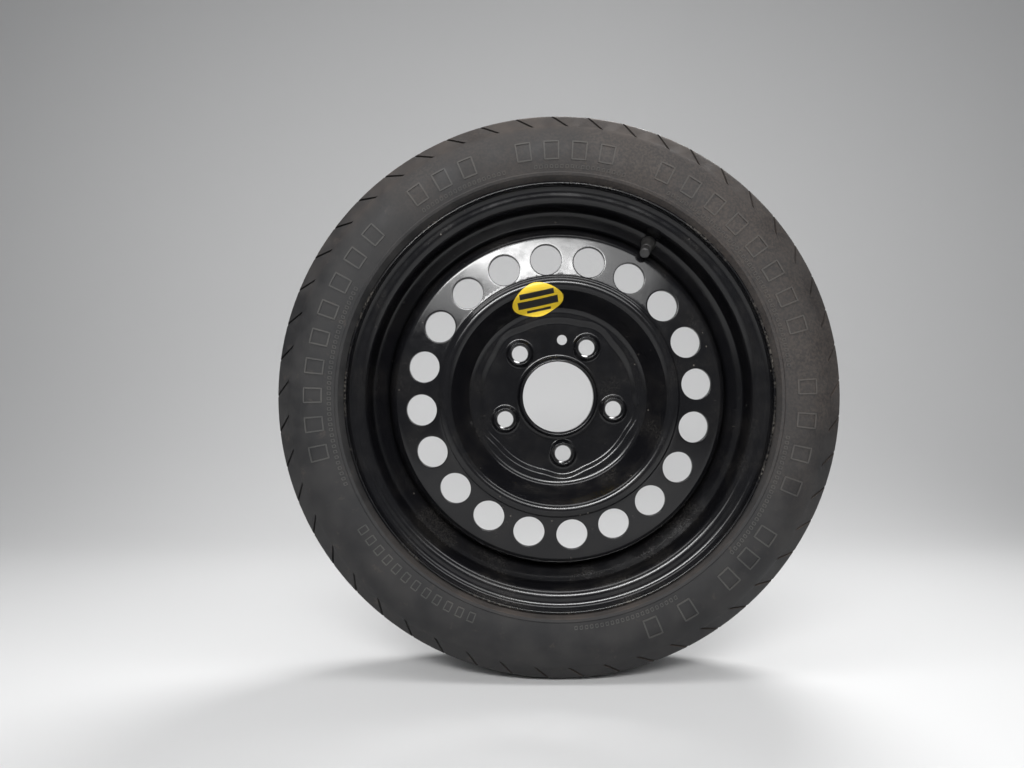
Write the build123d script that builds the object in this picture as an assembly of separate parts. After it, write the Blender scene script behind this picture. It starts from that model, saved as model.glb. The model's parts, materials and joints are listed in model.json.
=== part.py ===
from build123d import *
import os
from math import cos, radians, sin, tan

# Narrow temporary-use spare wheel, in millimetres. The wheel stands upright with its centre at the origin.
# It spins about Y. The outboard face looks along -Y and the hub side looks along +Y.
# Sections are drawn on the XY plane, X as the radius and Y as the wheel's axis, and turned about Y.
# "out" is a distance from the wheel's middle plane towards the outboard side.
# An angle is counted clockwise from the top, as someone facing the outboard side sees it.

# Tyre size
TYRE_DIAMETER = 557.0
TYRE_WIDTH = 127.0
TREAD_HALF_WIDTH = 46.5
SHOULDER_DROP = 3.9          # how much lower the tread's edge is than its middle
SIDEWALL_BULGE_R = 238.0     # radius at which the tyre is widest
SHOULDER_EDGE = (262.0, 55.8)
FITTING_RIB_R = 214.5
BEAD_TOE_OUT = 33.4
CROWN_THICKNESS = 11.8
SIDEWALL_THICKNESS = 7.4

# Tread grooves
GROOVE_PITCHES = 49
GROOVE_WIDTH = 2.2
GROOVE_DEPTH = 2.8
GROOVE_SLANT = 45.0
ZIGZAG_OUT = 37.5
ZIGZAG_SWING = 4.0
RIB_GROOVE_OUT = 13.0
RIB_GROOVE_WIDTH = 4.0

# Rim, a 15 inch one that is 4 inches wide
RIM_WIDTH = 101.6
BEAD_DIAMETER = 380.2
RIM_THICKNESS = 2.5
FLANGE_HEIGHT = 17.3
FLANGE_CURL = 9.5
LIP_REACH = 11.2             # from the flange's inner plane to the lip's edge
HEEL_RADIUS = 6.5
SEAT_TAPER = 5.0
SEAT_WIDTH = 17.8
HUMP_RISE = 1.0
HUMP_RUN = 5.5
WELL_DEPTH = 17.3
WELL_SLOPE = 58.8            # outboard side, where the valve sits
WELL_INNER_OUT = -8.0        # inboard end of the well's floor

# Disc
DISC_THICKNESS = 3.6
HUB_BORE_R = 35.15
COLLAR_HEIGHT = 11.0
MOUNT_FACE_OUT = 18.0
PAD_R = 75.0                 # sunk pad that bears on the hub
PAD_DEPTH = 3.0
DISH_FOOT_R = 87.5
RIDGE = (109.6, 55.6)        # where the dish wall and the ridge's outer slope would meet
RIDGE_ROUND = 8.0
STEP_R = 118.5
STEP_SLOPE = 40.0
VENT_SLOPE = 8.0
FACE_EDGE_R = 161.5
SKIRT_FOOT_OUT = 17.0

# Holes in the disc
PATTERN_ANGLE = 30.6         # the valve, one nut seat and one vent hole share this direction
BOLT_CIRCLE_R = 57.5
BOLT_COUNT = 5
BOLT_HOLE_R = 8.0
SEAT_TOP_R = 10.0
SEAT_HEIGHT = 3.6
SEAT_HALF_ANGLE = 30.0
LOBE_R = 20.8                # room for the nut socket round each nut seat
LOCATING_HOLE_R = 5.1
LOCATING_ANGLE = 4.5
VENT_COUNT = 20
VENT_RING_R = 135.2
VENT_HOLE_R = 15.2

# Weld seams
WELD_COUNT = 6
WELD_ARC = 36.0
WELD_LEG = 3.6

# Label
LABEL_ANGLE = -12.3
LABEL_WIDTH = 51.0
LABEL_HEIGHT = 41.0
LABEL_THICKNESS = 0.25
GLUE_THICKNESS = 0.05
LABEL_TOP_R = 113.0
LABEL_FOOT_R = 84.0

# Valve, along its own axis from the outside of the rim's slope
VALVE_HOLE_R = 5.75
VALVE_RUBBER_END = 21.0
STEM_R = 3.85
STEM_END = 31.0
STEM_FOOT = -10.0
CORE_CHAMBER_R = 2.6
AIR_WAY_R = 1.6
CAP_R = 5.0
CAP_FOOT = 21.6
CAP_TOP = 34.0
CAP_FLUTES = 14
THREAD_CLEARANCE = 0.1
PIN_R = 0.6
PIN_CLEARANCE = 0.08
PIN_TIP = 30.4
PLUG_TOP = 29.6
BARREL_TOP = 24.6
BARREL_FOOT = 16.0
CUP_SEAL_THICKNESS = 0.8
CUP_HEIGHT = 2.0
SPRING_WIRE_R = 0.16
SPRING_R = 0.98
SPRING_TURNS = 5

# Worked out from the above
bead_r = BEAD_DIAMETER / 2
tyre_r = TYRE_DIAMETER / 2
flange_out = RIM_WIDTH / 2
lip_r = bead_r + FLANGE_HEIGHT
well_r = bead_r - WELL_DEPTH
disc_flange_r = well_r - RIM_THICKNESS
seat_end_out = flange_out - SEAT_WIDTH
seat_end_r = bead_r - SEAT_WIDTH * tan(radians(SEAT_TAPER))
hump_r = seat_end_r + HUMP_RISE
hump_out = seat_end_out - HUMP_RUN
well_foot_out = hump_out - (hump_r - well_r) / tan(radians(WELL_SLOPE))
pad_out = MOUNT_FACE_OUT + DISC_THICKNESS
floor_out = pad_out + PAD_DEPTH
step_out = RIDGE[1] - (STEP_R - RIDGE[0]) * tan(radians(STEP_SLOPE))


def vent_face_out(radius):
    return step_out - (radius - STEP_R) * tan(radians(VENT_SLOPE))


def at(radius, out):
    return (radius, -out)


def mirrored(points):
    return [at(radius, -out) for radius, out in reversed(points)]


def spun(shape, angle):
    # Turned about the wheel's axis, clockwise as seen from the outboard side
    return Rot(0, angle, 0) * shape


def around(shape, count, start=0.0):
    return [spun(shape, start + k * 360 / count) for k in range(count)]


def along_y(shape):
    # A shape made along +Z now points outboard
    return Rot(90, 0, 0) * shape


def sheet(line, thickness, side):
    return make_face(line.offset_2d(thickness, side=side))


def turned(face, arc=360.0):
    return revolve(face, Axis.Y, arc)


# Rim

def rim_line():
    half = [
        (lip_r, flange_out + LIP_REACH),
        (lip_r, flange_out),
        (bead_r, flange_out),
        (seat_end_r, seat_end_out),
        (hump_r, hump_out),
    ]
    well = [at(well_r, well_foot_out), at(well_r, WELL_INNER_OUT)]
    outer = [at(*point) for point in half]
    bends = [FLANGE_CURL, HEEL_RADIUS, 5.0, 6.5]
    return FilletPolyline(*outer, *well, *mirrored(half), radius=[*bends, 6.0, 8.0, *reversed(bends)])


def rim_section():
    section = sheet(Wire(rim_line().edges()), RIM_THICKNESS, Side.LEFT)
    lips = [v for v in section.vertices() if abs(v.Y) > flange_out + LIP_REACH - 0.01]
    return fillet(lips, 0.9)


def below_rim_line():
    # Everything on the wheel's side of the bead seats, taken out of the tyre
    line = rim_line()
    low = 150.0
    foot = [line @ 1, (low, (line @ 1).Y), (low, (line @ 0).Y), line @ 0]
    return make_face(line.edges() + Polyline(*foot).edges())


def make_rim():
    rim = turned(rim_section())
    return rim - in_valve_place(Pos(0, 0, -15) * Cylinder(VALVE_HOLE_R, 30, align=UP))


# Tyre

def tyre_outline():
    bulge = at(SIDEWALL_BULGE_R, TYRE_WIDTH / 2)
    leave = at(lip_r - 1.2, flange_out + 4.8)
    rib = [at(FITTING_RIB_R - 2.2, 59.6), at(FITTING_RIB_R - 1.0, 61.0), at(FITTING_RIB_R + 1.4, 61.7)]
    rib_top = at(FITTING_RIB_R + 2.6, 61.2)
    edge = at(*SHOULDER_EDGE)
    buttress = at(SHOULDER_EDGE[0] + 0.7, SHOULDER_EDGE[1] - 1.0)
    tread_edge_r = tyre_r - SHOULDER_DROP
    tread_edge = at(tread_edge_r, TREAD_HALF_WIDTH)
    crown = ThreePointArc(tread_edge, at(tyre_r, 0), at(tread_edge_r, -TREAD_HALF_WIDTH))
    half = Polyline(at(160, flange_out + 4.8), leave, *rib, rib_top).edges()
    half += TangentArc(bulge, rib_top, tangent=(-1, 0)).edges()
    half += TangentArc(bulge, edge, tangent=(1, 0)).edges()
    half += Polyline(edge, buttress, at(tread_edge_r - 1.6, TREAD_HALF_WIDTH + 1.8), tread_edge).edges()
    other = [piece.mirror(Plane.XZ) for piece in half]
    base = Line(at(160, flange_out + 4.8), at(160, -flange_out - 4.8))
    return make_face([*half, *other, crown.edge(), base.edge()])


def tyre_cavity():
    inner_out = TYRE_WIDTH / 2 - SIDEWALL_THICKNESS
    crown_r = tyre_r - CROWN_THICKNESS
    half = [(150, BEAD_TOE_OUT), (195, BEAD_TOE_OUT), (226, inner_out), (246, inner_out), (crown_r, 43)]
    line = FilletPolyline(
        *[at(*p) for p in half], *mirrored(half), radius=[10, 25, 18, 12, 12, 18, 25, 10]
    )
    return make_face(line.edges() + Line(line @ 1, line @ 0).edges())


def rib_grooves():
    grooves = Sketch()
    for side in (-1, 1):
        place = Pos(tyre_r, side * RIB_GROOVE_OUT)
        grooves += place * Rectangle(2 * GROOVE_DEPTH, RIB_GROOVE_WIDTH)
    return grooves


def shoulder_groove():
    # One slanted groove over the outboard shoulder, at the top of the wheel
    edge_r, edge_out = SHOULDER_EDGE
    corner_r = tyre_r - SHOULDER_DROP
    deep = 1.2 * GROOVE_DEPTH
    layer = make_face(Polyline(
        at(edge_r, edge_out),
        at(edge_r + 0.4, edge_out - 3.0),
        at(corner_r - deep, TREAD_HALF_WIDTH - 0.3),
        at(corner_r + 1.4 - GROOVE_DEPTH, ZIGZAG_OUT),
        at(tyre_r + 8, ZIGZAG_OUT),
        at(tyre_r + 8, edge_out + 4),
        at(edge_r, edge_out + 4),
        close=True,
    ))
    ring = Rot(0, -110, 0) * turned(layer, 40)
    fall = Vector(0, -(edge_out - TREAD_HALF_WIDTH), edge_r - corner_r).normalized()
    run = Vector(tan(radians(GROOVE_SLANT)), 0, 0) + fall
    rise = Vector(1, 0, 0).cross(fall)
    middle = (0, -(edge_out + TREAD_HALF_WIDTH) / 2, (edge_r + corner_r) / 2)
    plate = Plane(middle, x_dir=run, z_dir=run.cross(rise)) * Box(90, 60, GROOVE_WIDTH)
    return ring & plate


def zigzag_groove():
    # One chevron of the zigzag groove, at the top of the wheel
    half_pitch = (tyre_r + 1) * tan(radians(180 / GROOVE_PITCHES)) + 0.05
    near = ZIGZAG_OUT - ZIGZAG_SWING
    far = ZIGZAG_OUT + ZIGZAG_SWING
    chevron = make_face(Polyline(
        (-half_pitch, near + GROOVE_WIDTH / 2),
        (0, far + GROOVE_WIDTH / 2),
        (half_pitch, near + GROOVE_WIDTH / 2),
        (half_pitch, near - GROOVE_WIDTH / 2),
        (0, far - GROOVE_WIDTH / 2),
        (-half_pitch, near - GROOVE_WIDTH / 2),
        close=True,
    ))
    depth_r = tyre_r - SHOULDER_DROP + 1.4 - GROOVE_DEPTH
    flat = Plane((0, 0, depth_r), x_dir=(1, 0, 0), z_dir=(0, 0, 1))
    return flat * Rot(0, 0, 180) * extrude(chevron, 3 * GROOVE_DEPTH)


def make_tyre():
    section = tyre_outline() - tyre_cavity() - below_rim_line() - rib_grooves()
    tyre = turned(section)
    grooves = around(shoulder_groove(), GROOVE_PITCHES) + around(zigzag_groove(), GROOVE_PITCHES, 3.0)
    grooves += [Rot(0, 0, 180) * groove for groove in grooves]
    return tyre.cut(*[solid for groove in grooves for solid in groove.solids()])


# Disc

def disc_line():
    points = [
        at(HUB_BORE_R + DISC_THICKNESS, pad_out + COLLAR_HEIGHT),
        at(HUB_BORE_R + DISC_THICKNESS, pad_out),
        at(PAD_R, pad_out),
        at(PAD_R + PAD_DEPTH, floor_out),
        at(DISH_FOOT_R, floor_out),
        at(*RIDGE),
        at(STEP_R, step_out),
        at(FACE_EDGE_R, vent_face_out(FACE_EDGE_R)),
        at(disc_flange_r, SKIRT_FOOT_OUT),
        at(disc_flange_r, 0),
    ]
    return Wire(FilletPolyline(*points, radius=[4, 3, 5, 8, RIDGE_ROUND, 4.5, 8, 12]).edges())


def disc_section():
    section = sheet(disc_line(), DISC_THICKNESS, Side.LEFT)
    collar_end = [v for v in section.vertices() if v.Y < -pad_out - COLLAR_HEIGHT + 0.01 and v.X < 45]
    return fillet(collar_end, 1.4)


def on_bolt_circle(shape):
    # A shape made along +Z from the pad's front, repeated on the nut seats
    one = Pos(0, -pad_out, BOLT_CIRCLE_R) * along_y(shape)
    return around(one, BOLT_COUNT, PATTERN_ANGLE)


def nut_seat():
    ring = make_face(FilletPolyline(
        (BOLT_HOLE_R - 1, -1),
        (BOLT_HOLE_R - 1, SEAT_HEIGHT),
        (SEAT_TOP_R + 0.8, SEAT_HEIGHT),
        (SEAT_TOP_R + 3.2, 0),
        (SEAT_TOP_R + 4.6, 0),
        (SEAT_TOP_R + 4.6, -1),
        radius=[0, 0, 0.7, 2.2, 0, 0],
        close=True,
    ).edges())
    return revolve(Rot(90, 0, 0) * ring, Axis.Z)


def nut_seat_cut():
    cone_height = (SEAT_TOP_R - BOLT_HOLE_R) / tan(radians(SEAT_HALF_ANGLE))
    seat = Pos(0, 0, SEAT_HEIGHT - cone_height) * Cone(BOLT_HOLE_R, SEAT_TOP_R, cone_height, align=UP)
    hole = Pos(0, 0, -10) * Cylinder(BOLT_HOLE_R, 30, align=UP)
    relief = Pos(0, 0, -DISC_THICKNESS) * Cone(SEAT_TOP_R + 2.4, SEAT_TOP_R - 0.6, 2.0, align=UP)
    return seat + hole + relief


def socket_room():
    return Cone(LOBE_R, LOBE_R + PAD_DEPTH, PAD_DEPTH, align=UP)


def socket_room_back():
    wall = 2.8
    back = Cone(LOBE_R + wall, LOBE_R + wall + PAD_DEPTH, PAD_DEPTH, align=UP)
    return Pos(0, 0, -DISC_THICKNESS) * back


def vent_holes():
    lean = radians(VENT_SLOPE)
    place = (0, -vent_face_out(VENT_RING_R), VENT_RING_R)
    face = Plane(place, x_dir=(1, 0, 0), z_dir=(0, -cos(lean), sin(lean)))
    return around(face * Cylinder(VENT_HOLE_R, 24), VENT_COUNT, PATTERN_ANGLE)


def make_disc():
    disc = turned(disc_section())
    middle = along_y(Cylinder(PAD_R - 12, 200))
    disc += [back - middle for back in on_bolt_circle(socket_room_back())]
    disc -= [room - middle for room in on_bolt_circle(socket_room())]
    disc += on_bolt_circle(nut_seat())
    disc -= on_bolt_circle(nut_seat_cut())
    disc -= along_y(Cylinder(HUB_BORE_R, 200))
    locating = spun(Pos(0, -pad_out, BOLT_CIRCLE_R) * along_y(Cylinder(LOCATING_HOLE_R, 20)), LOCATING_ANGLE)
    return disc - locating - vent_holes()


def make_weld_seams():
    bead = make_face(Polyline(
        at(disc_flange_r, 0), at(disc_flange_r, -WELD_LEG), at(disc_flange_r - DISC_THICKNESS * 0.8, 0), close=True
    ))
    return around(turned(bead, WELD_ARC), WELD_COUNT, PATTERN_ANGLE)


# Label

def make_label():
    glue = sheet(disc_line(), GLUE_THICKNESS, Side.RIGHT)
    foil = turned(sheet(disc_line(), GLUE_THICKNESS + LABEL_THICKNESS, Side.RIGHT) - glue, 50)
    foil = spun(Rot(0, -90 - 25, 0) * foil, LABEL_ANGLE)
    top = Vector(0, -(RIDGE[1] - 4), LABEL_TOP_R)
    foot = Vector(0, -floor_out, LABEL_FOOT_R)
    rise = (top - foot).normalized()
    stamp_plane = Plane((top + foot) / 2, x_dir=(1, 0, 0), z_dir=Vector(1, 0, 0).cross(rise))
    stamp = extrude(stamp_plane * Ellipse(LABEL_WIDTH / 2, LABEL_HEIGHT / 2), 30, both=True)
    return foil & spun(stamp, LABEL_ANGLE)


# Valve

UP = (Align.CENTER, Align.CENTER, Align.MIN)


def in_valve_place(shape):
    # From the valve's own axis, Z outwards, to its place in the rim's slope
    slope = radians(WELL_SLOPE)
    middle_r = (hump_r + well_r) / 2 - 0.4
    middle_out = hump_out - (hump_r - middle_r) / tan(slope)
    foot = (0, -middle_out - RIM_THICKNESS * sin(slope), middle_r - RIM_THICKNESS * cos(slope))
    plane = Plane(foot, x_dir=(1, 0, 0), z_dir=(0, -sin(slope), -cos(slope)))
    return spun(plane * shape, PATTERN_ANGLE)


def lathed(points, radius=None):
    # Turned about the valve's axis from (radius, height) corners
    corners = radius if radius else [0] * len(points)
    line = FilletPolyline(*points, radius=corners, close=True)
    return revolve(Rot(90, 0, 0) * make_face(line.edges()), Axis.Z)


def tube(outer, inner, foot, top):
    return lathed([(inner, foot), (outer, foot), (outer, top), (inner, top)])


def valve_body():
    points = [
        (STEM_R - 1, STEM_FOOT + 1.5),
        (5.4, STEM_FOOT + 1.5),
        (8.4, -5.2),
        (8.0, -RIM_THICKNESS),
        (VALVE_HOLE_R, -RIM_THICKNESS),
        (VALVE_HOLE_R, 0),
        (7.6, 0),
        (7.4, 2.4),
        (6.3, 6.0),
        (5.4, VALVE_RUBBER_END),
        (STEM_R, VALVE_RUBBER_END),
        (STEM_R, VALVE_RUBBER_END - 4),
        (STEM_R - 1, VALVE_RUBBER_END - 6),
    ]
    return lathed(points, [0, 1, 1, 0.5, 0, 0, 0.5, 1, 3, 1, 0, 0, 0])


def valve_stem():
    points = [
        (AIR_WAY_R, STEM_FOOT),
        (STEM_R - 1, STEM_FOOT),
        (STEM_R - 1, VALVE_RUBBER_END - 6),
        (STEM_R, VALVE_RUBBER_END - 4),
        (STEM_R, STEM_END - 0.6),
        (STEM_R - 0.6, STEM_END),
        (CORE_CHAMBER_R, STEM_END),
        (CORE_CHAMBER_R, BARREL_FOOT - 6),
        (AIR_WAY_R, BARREL_FOOT - 8),
    ]
    return lathed(points)


def valve_cap():
    bore = STEM_R + THREAD_CLEARANCE
    points = [
        (0, STEM_END + 1.2), (bore, STEM_END + 1.2), (bore, CAP_FOOT), (CAP_R, CAP_FOOT), (CAP_R, CAP_TOP), (0, CAP_TOP)
    ]
    cap = lathed(points, [0, 0, 0, 0.5, 1.4, 0])
    flute = Pos(CAP_R + 0.25, 0, CAP_FOOT + 1.2) * Cylinder(0.55, 8.4, align=UP)
    return cap - [Rot(0, 0, k * 360 / CAP_FLUTES) * flute for k in range(CAP_FLUTES)]


def valve_cap_seal():
    return tube(STEM_R - 0.05, 1.4, STEM_END + 0.2, STEM_END + 1.2)


def valve_core_plug():
    plug = tube(CORE_CHAMBER_R, PIN_R + PIN_CLEARANCE, BARREL_TOP, PLUG_TOP)
    flat = Box(6, 6, 4, align=(Align.MIN, Align.CENTER, Align.MIN))
    flats = Pos(1.3, 0, PLUG_TOP - 3) * flat
    return plug - flats - Rot(0, 0, 180) * flats


def valve_core_barrel():
    points = [
        (PIN_R + 0.35, BARREL_FOOT), (2.1, BARREL_FOOT), (2.1, BARREL_TOP), (1.4, BARREL_TOP),
        (1.4, BARREL_FOOT + 1.4), (PIN_R + 0.35, BARREL_FOOT + 1.4),
    ]
    return lathed(points)


def valve_core_gasket():
    return tube(CORE_CHAMBER_R, 2.1, BARREL_TOP - 4.4, BARREL_TOP - 1.8)


def valve_core_pin():
    collar = BARREL_TOP - 1.2
    points = [
        (0, BARREL_FOOT - 5), (PIN_R, BARREL_FOOT - 5), (PIN_R, collar - 0.5), (1.25, collar - 0.5), (1.25, collar),
        (PIN_R, collar), (PIN_R, PIN_TIP), (0, PIN_TIP),
    ]
    return lathed(points)


def valve_core_cup():
    top = BARREL_FOOT - CUP_SEAL_THICKNESS
    return tube(1.9, PIN_R, top - CUP_HEIGHT, top)


def valve_core_cup_seal():
    return tube(1.8, PIN_R, BARREL_FOOT - CUP_SEAL_THICKNESS, BARREL_FOOT)


def valve_core_spring():
    foot = BARREL_FOOT + 1.4 + SPRING_WIRE_R + 0.02
    top = BARREL_TOP - 1.7 - SPRING_WIRE_R - 0.02
    coil = Helix((top - foot) / SPRING_TURNS, top - foot, SPRING_R)
    wire = Plane(coil @ 0, z_dir=coil % 0) * RegularPolygon(SPRING_WIRE_R, 6)
    return Pos(0, 0, foot) * sweep(wire, coil, is_frenet=True)


def main():
    os.makedirs("parts", exist_ok=True)
    rim = make_rim()
    label = make_label()
    nodes = {
        "tyre": make_tyre(),
        "rim": rim,
        "wheel_disc": make_disc(),
        "weld_seams": Compound(children=[s for seam in make_weld_seams() for s in seam.solids()]),
        "label": label,
        "valve_body": in_valve_place(valve_body()) - rim,
        "valve_stem": in_valve_place(valve_stem()),
        "valve_cap": in_valve_place(valve_cap()),
        "valve_cap_seal": in_valve_place(valve_cap_seal()),
        "valve_core_plug": in_valve_place(valve_core_plug()),
        "valve_core_barrel": in_valve_place(valve_core_barrel()),
        "valve_core_gasket": in_valve_place(valve_core_gasket()),
        "valve_core_pin": in_valve_place(valve_core_pin()),
        "valve_core_cup": in_valve_place(valve_core_cup()),
        "valve_core_cup_seal": in_valve_place(valve_core_cup_seal()),
        "valve_core_spring": in_valve_place(valve_core_spring()),
    }
    for name, shape in nodes.items():
        export_step(shape, f"parts/{name}.step")
        print(name, len(shape.solids()), "solid(s)", round(shape.volume), "mm3", shape.is_valid)


main()
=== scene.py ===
# %% [markdown]
# # A narrow spare wheel
# A thin tyre sits on a black steel rim, and a pressed steel disc inside the rim has the nut seats and vents.
# The solid model already has every piece in its place, so this lesson loads it first and never moves it.
# Each step then gives one piece a finer surface, a finish, or a small detail that a solid is too coarse for.

# %% Load the solid model
import json
from math import acos, atan2, ceil, cos, degrees, pi, radians, sin, sqrt, tan

import bmesh
import bpy
import numpy as np
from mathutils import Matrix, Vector
from mathutils.geometry import delaunay_2d_cdt


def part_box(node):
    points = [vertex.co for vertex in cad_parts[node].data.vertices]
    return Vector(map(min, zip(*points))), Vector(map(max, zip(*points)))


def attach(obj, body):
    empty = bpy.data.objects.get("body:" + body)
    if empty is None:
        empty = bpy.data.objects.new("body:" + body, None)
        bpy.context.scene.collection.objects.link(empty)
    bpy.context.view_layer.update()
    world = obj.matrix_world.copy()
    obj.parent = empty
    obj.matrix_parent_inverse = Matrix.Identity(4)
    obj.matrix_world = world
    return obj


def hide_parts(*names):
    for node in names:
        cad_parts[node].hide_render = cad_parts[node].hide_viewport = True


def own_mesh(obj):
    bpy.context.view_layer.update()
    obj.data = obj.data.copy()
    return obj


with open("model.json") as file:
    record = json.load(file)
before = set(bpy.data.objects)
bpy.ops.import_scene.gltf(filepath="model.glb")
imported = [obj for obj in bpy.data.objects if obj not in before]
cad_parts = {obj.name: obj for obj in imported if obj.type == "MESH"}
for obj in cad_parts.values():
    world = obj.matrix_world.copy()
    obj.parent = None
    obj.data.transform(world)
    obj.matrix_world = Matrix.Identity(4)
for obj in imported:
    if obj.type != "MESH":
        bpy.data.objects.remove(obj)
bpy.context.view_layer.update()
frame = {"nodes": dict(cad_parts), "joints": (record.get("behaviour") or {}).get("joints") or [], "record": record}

MM = 0.001
nodes = frame["nodes"]


# %% [markdown]
# ## Sizes
# The wheel's centre is the origin, it spins about Y, and the side with the nuts looks along -Y.
# A point of a section is a radius and an "out" distance from the middle plane towards the nut side.
# Both are in millimetres. The outer sizes are measured from the frame's boxes, so they follow the solid.

# %% Driving sizes
def box_mm(node):
    low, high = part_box(node)
    return np.array(low) / MM, np.array(high) / MM


TYRE_R = box_mm("tyre")[1][2]
TYRE_OUT = -box_mm("tyre")[0][1]
LIP_R = box_mm("rim")[1][2]
LIP_OUT = -box_mm("rim")[0][1]
DISC_R = box_mm("wheel_disc")[1][2]
PATTERN_ANGLE = 30.6      # clockwise from the top: the valve, a nut seat and a vent share this direction
RIM_SHEET = 2.5
DISC_SHEET = 3.6
TURN_STEPS = 240
print("tyre radius", round(TYRE_R, 2), "lip radius", round(LIP_R, 2), "disc radius", round(DISC_R, 2))

# %% [markdown]
# ## Helpers for turned sheet metal
# Pressed and rolled steel is a sheet of even thickness with rounded bends.
# So a section is drawn as straight legs, and each corner gets its bend radius. The line is set off by the
# thickness, and the closed outline is turned about the wheel's axis. It is the same work a lathe does.

# %% Rounded lines, offsets and turning
def unit(v):
    return v / np.linalg.norm(v)


def rounded(corners, step=9.0):
    """Corners are (radius, out, bend radius). The line comes back with each bend as a fan of points."""
    points = [np.array(c[:2], float) for c in corners]
    line = [points[0]]
    for before, here, after, corner in zip(points, points[1:], points[2:], corners[1:]):
        u, v = unit(before - here), unit(after - here)
        half = acos(np.clip(u @ v, -1, 1)) / 2
        middle = here + unit(u + v) * corner[2] / sin(half)
        first, last = here + u * corner[2] / tan(half) - middle, here + v * corner[2] / tan(half) - middle
        start = atan2(first[1], first[0])
        turn = (atan2(last[1], last[0]) - start + pi) % (2 * pi) - pi
        count = max(2, ceil(abs(degrees(turn)) / step))
        for k in range(count + 1):
            angle = start + turn * k / count
            line.append(middle + corner[2] * np.array([cos(angle), sin(angle)]))
    line.append(points[-1])
    return np.array(line)


def set_off(line, distance):
    """The line moved sideways, to the right of its direction."""
    along = np.diff(line, axis=0)
    along /= np.linalg.norm(along, axis=1)[:, None]
    side = np.stack([along[:, 1], -along[:, 0]], axis=1)
    mitre = np.vstack([side[:1], side[:-1] + side[1:], side[-1:]])
    mitre /= np.linalg.norm(mitre, axis=1)[:, None]
    mitre /= np.sum(mitre * np.vstack([side[:1], side]), axis=1)[:, None]
    return line + mitre * distance


def round_end(first, last, steps=6):
    """A half-round edge from one face of the sheet to the other, for the cut end of a pressing."""
    middle, half = (first + last) / 2, (first - last) / 2
    ahead = np.array([-half[1], half[0]])
    angles = [pi * k / steps for k in range(1, steps)]
    return np.array([middle + half * cos(a) + ahead * sin(a) for a in angles])


def on_wheel(radius, out, angle):
    """A place in the wheel's frame. The angle is in radians, clockwise from the top on the nut side."""
    return np.stack([radius * np.sin(angle), -out + 0 * angle, radius * np.cos(angle)], axis=-1)


WELD, TINY = 0.004, 0.0005     # points closer than WELD become one, edges shorter than TINY go
SHARP = 40.0                   # degrees between two faces from which their edge stays crisp


class Surface:
    """Collects patches in millimetres, then welds them into one smooth mesh at the origin."""

    def __init__(self):
        self.points, self.faces = [], []

    def add(self, points, faces):
        base = sum(len(p) for p in self.points)
        self.points.append(np.asarray(points, float))
        self.faces += [[base + i for i in face] for face in faces]

    def turn(self, line, closed=False):
        angles = np.arange(TURN_STEPS) * 2 * pi / TURN_STEPS
        rings = [on_wheel(r, out, angles) for r, out in line]
        self.rings(rings, closed)

    def rings(self, rings, closed=False):
        """Joins closed loops of the same length, one after another, with four-sided faces."""
        steps = len(rings[0])
        pairs = [(k, k + 1) for k in range(len(rings) - 1)] + ([(len(rings) - 1, 0)] if closed else [])
        faces = []
        for a, b in pairs:
            for j in range(steps):
                n = (j + 1) % steps
                faces.append((a * steps + j, a * steps + n, b * steps + n, b * steps + j))
        self.add(np.vstack(rings), faces)

    def build(self, name, weld=WELD, sharp=SHARP):
        mesh = bpy.data.meshes.new(name)
        mesh.from_pydata((np.vstack(self.points) * MM).tolist(), [], self.faces)
        return settle(new_piece(name, mesh), weld, sharp)


def new_piece(name, mesh):
    piece = bpy.data.objects.new(name, mesh)
    bpy.context.scene.collection.objects.link(piece)
    return piece


def settle(piece, weld=WELD, sharp=SHARP, outward=True):
    """Welds doubles, drops loose points, turns the faces outwards and shades smooth except at real edges."""
    work = bmesh.new()
    work.from_mesh(piece.data)
    bmesh.ops.remove_doubles(work, verts=work.verts, dist=weld * MM)
    bmesh.ops.dissolve_degenerate(work, dist=TINY * MM, edges=work.edges)
    bmesh.ops.delete(work, geom=[v for v in work.verts if not v.link_faces], context="VERTS")
    if outward:
        bmesh.ops.recalc_face_normals(work, faces=work.faces)
    open_edges = sum(1 for e in work.edges if not e.is_manifold)
    for e in work.edges:
        e.smooth = not e.is_manifold or e.calc_face_angle(0) < radians(sharp)
    for f in work.faces:
        f.smooth = True
    work.to_mesh(piece.data)
    work.free()
    print(piece.name, "faces:", len(piece.data.polygons), "open edges:", open_edges)
    return piece


# %% [markdown]
# ## Helpers for finishes
# A finish is a shader with a few noise patterns. They read Object coordinates, in metres, so the pattern
# stays put in any view. Dust, dirt and wear are mixed in where they would gather.
# A value that is the same all over sits on the shader's own socket.

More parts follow.
